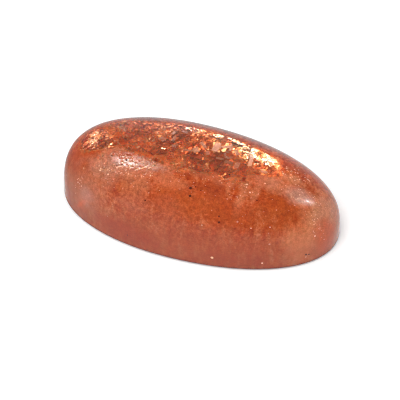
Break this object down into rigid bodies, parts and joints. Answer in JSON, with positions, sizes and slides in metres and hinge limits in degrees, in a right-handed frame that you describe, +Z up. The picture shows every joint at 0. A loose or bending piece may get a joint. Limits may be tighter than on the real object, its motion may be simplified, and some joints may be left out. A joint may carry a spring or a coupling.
{
  "type": "oval sunstone cabochon",
  "caption": "Oval sunstone cabochon: a polished, translucent orange-pink feldspar with glittering plates inside, a flat back and a full dome that slopes towards one end.",
  "frame": {"origin": "middle of the flat back, in the plane that it rests on", "axes": "+Z up out of the flat back to the dome, +X along the stone's length towards its lower end, +Y across its width"},
  "size_m": [0.02, 0.0104, 0.0055],
  "materials": {
    "sunstone": "high polish, translucent, orange-pink with glittering plates inside"
  },
  "bodies": {
    "root": {"stone": "sunstone"}
  },
  "joints": []
}
